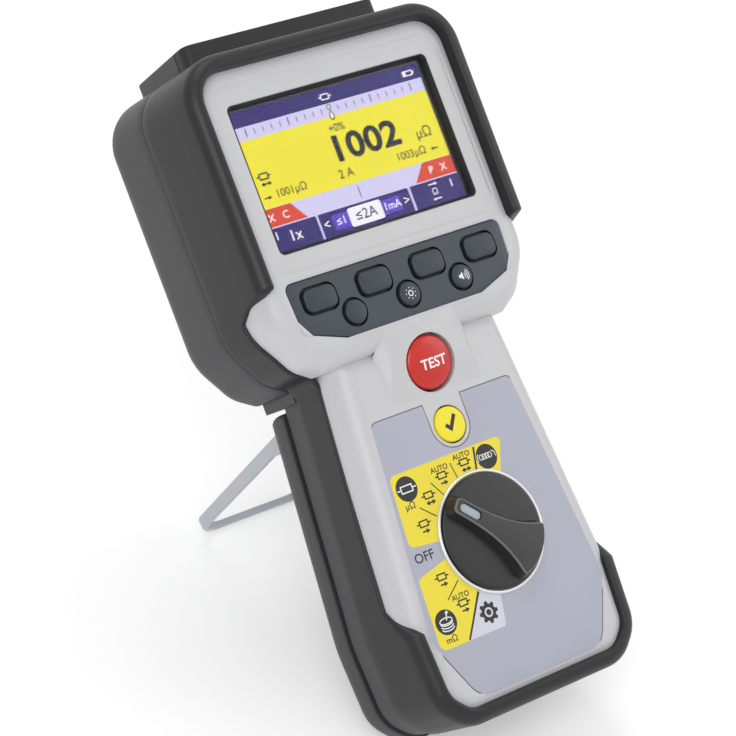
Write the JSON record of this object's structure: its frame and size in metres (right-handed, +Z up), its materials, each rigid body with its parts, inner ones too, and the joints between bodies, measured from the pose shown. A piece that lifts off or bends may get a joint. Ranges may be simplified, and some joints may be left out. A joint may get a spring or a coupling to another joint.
{
  "type": "micro ohmmeter",
  "caption": "Hand-held digital micro ohmmeter with colour display, keypad, rotary range knob and test button, leaning on its folding stand.",
  "frame": {"origin": "centre of the box at floor level, the instrument leaning back on its open stand", "axes": "+X to the instrument's right seen from its face, +Y away from the viewer towards the stand, +Z up"},
  "size_m": [0.1104, 0.1944, 0.2005],
  "materials": {
    "pale_plastic": "fine matte moulded texture",
    "bumper": "soft satin overmould",
    "dark_plastic": "fine matte moulded texture",
    "clear_stand": "pale satin translucent plastic",
    "window": "clear flat window",
    "frame_black": "dark matte",
    "display": "colour display panel",
    "keypad": "satin slate plate",
    "keycap": "satin silicone",
    "test_red": "satin red",
    "tick_yellow": "satin yellow",
    "label": "printed matte film",
    "ring_metal": "bright ring",
    "knob_black": "satin black",
    "pointer": "pale insert",
    "steel": "plain steel",
    "board_green": "solder mask",
    "switch_blue": "moulded",
    "component_grey": "ferrite and ceramic",
    "brass": "plain turned",
    "cell_jacket": "printed sleeve"
  },
  "bodies": {
    "housing": {"front_case": "pale_plastic", "front_overmould": "bumper", "rear_case": "dark_plastic", "case_gasket": "bumper", "battery_cover": "dark_plastic", "display_window": "window", "window_frame": "frame_black", "display_module": "display", "display_board": "board_green", "keypad_plate": "keypad", "key_mat": "keycap", "key_switches": "steel", "face_label": "label", "knob_ring": "ring_metal", "rotary_switch": "switch_blue", "main_board": "board_green", "current_inductor": "component_grey", "shunt_resistor": "brass", "sounder": "component_grey", "battery_cell_1": "cell_jacket", "battery_cell_2": "cell_jacket", "battery_cell_3": "cell_jacket", "battery_cell_4": "cell_jacket", "battery_cell_5": "cell_jacket", "battery_cell_6": "cell_jacket", "battery_contacts": "steel", "test_socket_c1": "brass", "test_socket_p1": "brass", "test_socket_p2": "brass", "test_socket_c2": "brass", "socket_shrouds_red": "test_red", "socket_shrouds_black": "knob_black", "socket_nuts": "steel", "case_screws": "steel", "cover_screws": "steel"},
    "range_knob": {"range_knob": "knob_black", "knob_pointer": "pointer", "switch_shaft": "steel"},
    "stand": {"stand": "clear_stand"},
    "soft_key_1": {"soft_key_1": "keycap"},
    "soft_key_2": {"soft_key_2": "keycap"},
    "soft_key_3": {"soft_key_3": "keycap"},
    "soft_key_4": {"soft_key_4": "keycap"},
    "round_key_1": {"round_key_1": "keycap"},
    "round_key_2": {"round_key_2": "keycap"},
    "round_key_3": {"round_key_3": "keycap"},
    "test_button": {"test_button": "test_red"},
    "tick_button": {"tick_button": "tick_yellow"}
  },
  "joints": [
    {"name": "knob_turn", "type": "hinge", "parent": "housing", "child": "range_knob", "pos_m": [0, -0.05935, 0.07158], "axis": [0, -0.7229, 0.6909], "range_deg": [-67.5, 112.5]},
    {"name": "stand_fold", "type": "hinge", "parent": "housing", "child": "stand", "pos_m": [0, 0.00677, 0.08143], "axis": [1, 0, 0], "range_deg": [-77, 0]},
    {"name": "soft_key_1_press", "type": "slide", "parent": "housing", "child": "soft_key_1", "axis": [0, 0.7229, -0.6909], "range_m": [0, 0.0008], "stiffness_N_per_m": 1500},
    {"name": "soft_key_2_press", "type": "slide", "parent": "housing", "child": "soft_key_2", "axis": [0, 0.7229, -0.6909], "range_m": [0, 0.0008], "stiffness_N_per_m": 1500},
    {"name": "soft_key_3_press", "type": "slide", "parent": "housing", "child": "soft_key_3", "axis": [0, 0.7229, -0.6909], "range_m": [0, 0.0008], "stiffness_N_per_m": 1500},
    {"name": "soft_key_4_press", "type": "slide", "parent": "housing", "child": "soft_key_4", "axis": [0, 0.7229, -0.6909], "range_m": [0, 0.0008], "stiffness_N_per_m": 1500},
    {"name": "round_key_1_press", "type": "slide", "parent": "housing", "child": "round_key_1", "axis": [0, 0.7229, -0.6909], "range_m": [0, 0.0008], "stiffness_N_per_m": 1500},
    {"name": "round_key_2_press", "type": "slide", "parent": "housing", "child": "round_key_2", "axis": [0, 0.7229, -0.6909], "range_m": [0, 0.0008], "stiffness_N_per_m": 1500},
    {"name": "round_key_3_press", "type": "slide", "parent": "housing", "child": "round_key_3", "axis": [0, 0.7229, -0.6909], "range_m": [0, 0.0008], "stiffness_N_per_m": 1500},
    {"name": "test_button_press", "type": "slide", "parent": "housing", "child": "test_button", "axis": [0, 0.8495, -0.5276], "range_m": [0, 0.0008], "stiffness_N_per_m": 1500},
    {"name": "tick_button_press", "type": "slide", "parent": "housing", "child": "tick_button", "axis": [0, 0.7229, -0.6909], "range_m": [0, 0.0008], "stiffness_N_per_m": 1500}
  ]
}
